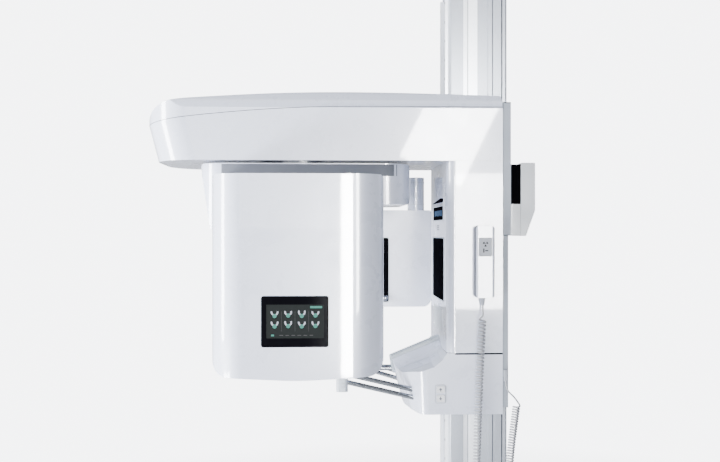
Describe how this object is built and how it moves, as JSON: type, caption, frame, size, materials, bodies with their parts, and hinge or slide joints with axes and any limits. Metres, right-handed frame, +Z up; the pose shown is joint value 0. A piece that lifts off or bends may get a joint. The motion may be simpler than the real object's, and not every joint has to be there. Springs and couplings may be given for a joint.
{
  "type": "panoramic dental x-ray machine",
  "caption": "Wall-braced column with a lifting carriage, an overhead arm and a rotor that turns an X-ray tube and a sensor round the patient's head.",
  "frame": {"origin": "middle of the column's foot plate, on the floor", "axes": "+Z up the column, +X towards the wall, -Y the operator's side with the screen and handset"},
  "size_m": [1.16, 0.6428, 2.256],
  "materials": {
    "white_shell": "gloss, cool white",
    "column_metal": "satin, clear anodised",
    "machined_steel": "machined",
    "painted_steel": "satin powder coat",
    "chrome": "polished",
    "black_glass": "gloss black",
    "screen_image": "lit display",
    "mirror_glass": "mirror",
    "grey_trim": "matt grey",
    "soft_pad": "matt blue-grey",
    "black_trim": "matt black",
    "tube_glass": "clear",
    "copper": "bare copper",
    "board": "circuit board",
    "cord_grey": "matt light grey"
  },
  "bodies": {
    "column": {"column_profile": "column_metal", "column_cap": "grey_trim", "foot_plate": "painted_steel", "lift_rails": "machined_steel", "lift_cylinder": "machined_steel", "wall_bracket": "painted_steel", "bracket_covers": "black_trim"},
    "carriage": {"lift_rod": "chrome", "carriage_frame": "painted_steel", "carriage_cover": "white_shell", "status_display": "screen_image", "face_mirror": "black_glass", "rear_trims": "white_shell", "lower_body": "white_shell", "chin_ridge_pad": "soft_pad", "grip_pipes": "chrome", "grip_ends": "grey_trim", "chin_rest_support": "chrome", "light_panel": "white_shell", "arm_tray": "white_shell", "arm_lid": "white_shell", "arm_spine": "painted_steel", "stage_rails": "machined_steel", "handset_cradle": "white_shell", "cord_lead_handset": "cord_grey", "cord_coil": "cord_grey", "cord_lead_clip": "cord_grey", "cord_clip": "grey_trim"},
    "up_key": {"lift_up_button": "grey_trim"},
    "down_key": {"lift_down_button": "grey_trim"},
    "chin_cup": {"chin_cup": "grey_trim"},
    "bite_block": {"bite_block": "grey_trim"},
    "level_light": {"level_light": "black_trim", "level_light_knob": "chrome"},
    "stage": {"stage_plate": "machined_steel", "stage_motors": "black_trim", "turn_belt": "black_trim"},
    "stage_pinion": {"stage_pinion": "machined_steel"},
    "rotor": {"rotor_hub": "machined_steel", "rotor_beam": "painted_steel", "rotor_cover": "white_shell", "tube_housing_front": "white_shell", "tube_housing_back": "white_shell", "screen_bezel": "black_glass", "screen_panel": "screen_image", "tubehead_can": "painted_steel", "xray_tube_glass": "tube_glass", "tube_anode": "copper", "high_voltage_unit": "grey_trim", "collimator_plate": "machined_steel", "sensor_cover_front": "white_shell", "sensor_cover_back": "white_shell", "sensor_window": "black_trim", "sensor_board": "board"},
    "motor_pulley": {"motor_pulley": "machined_steel"},
    "blade_left": {"collimator_blade_left": "machined_steel"},
    "blade_right": {"collimator_blade_right": "machined_steel"},
    "handset": {"handset_body": "white_shell", "handset_strain_relief": "cord_grey"},
    "exposure_key": {"exposure_button": "grey_trim"}
  },
  "joints": [
    {"name": "lift_slide", "type": "slide", "parent": "column", "child": "carriage", "axis": [0, 0, 1], "range_m": [-0.5, 0.33]},
    {"name": "up_key_press", "type": "slide", "parent": "carriage", "child": "up_key", "axis": [0, 1, 0], "range_m": [0, 0.0015], "stiffness_N_per_m": 900, "springref_m": -0.0005},
    {"name": "down_key_press", "type": "slide", "parent": "carriage", "child": "down_key", "axis": [0, 1, 0], "range_m": [0, 0.0015], "stiffness_N_per_m": 900, "springref_m": -0.0005},
    {"name": "chin_cup_height", "type": "slide", "parent": "carriage", "child": "chin_cup", "axis": [0, 0, 1], "range_m": [-0.014, 0.03]},
    {"name": "bite_block_lift", "type": "slide", "parent": "chin_cup", "child": "bite_block", "axis": [0, 0, 1], "range_m": [0, 0.03]},
    {"name": "level_light_height", "type": "slide", "parent": "carriage", "child": "level_light", "axis": [0, 0, 1], "range_m": [0, 0.18]},
    {"name": "stage_shift", "type": "slide", "parent": "carriage", "child": "stage", "axis": [1, 0, 0], "range_m": [-0.06, 0]},
    {"name": "pinion_spin", "type": "hinge", "parent": "stage", "child": "stage_pinion", "pos_m": [-0.63, -0.07, 1.72], "axis": [0, 0, 1], "range_deg": [-10, 300]},
    {"name": "rotor_turn", "type": "hinge", "parent": "stage", "child": "rotor", "pos_m": [-0.54, 0, 1.72], "axis": [0, 0, -1], "range_deg": [-15, 180]},
    {"name": "pulley_spin", "type": "hinge", "parent": "stage", "child": "motor_pulley", "pos_m": [-0.645, 0.06, 1.72], "axis": [0, 0, -1], "range_deg": [-80, 910]},
    {"name": "blade_left_shift", "type": "slide", "parent": "rotor", "child": "blade_left", "axis": [1, 0, 0], "range_m": [-0.003, 0.01]},
    {"name": "blade_right_shift", "type": "slide", "parent": "rotor", "child": "blade_right", "axis": [-1, 0, 0], "range_m": [-0.003, 0.01]},
    {"name": "handset_lift", "type": "slide", "parent": "carriage", "child": "handset", "axis": [0, 0, 1], "range_m": [0, 0.012]},
    {"name": "exposure_press", "type": "slide", "parent": "handset", "child": "exposure_key", "axis": [0, 1, 0], "range_m": [0, 0.0015], "stiffness_N_per_m": 900, "springref_m": -0.0005}
  ],
  "couplings": [
    {"joint": "pinion_spin", "follows": "stage_shift", "rad_per_m": -83.333},
    {"joint": "pulley_spin", "follows": "rotor_turn", "ratio": 5},
    {"joint": "blade_right_shift", "follows": "blade_left_shift", "ratio": 1}
  ]
}
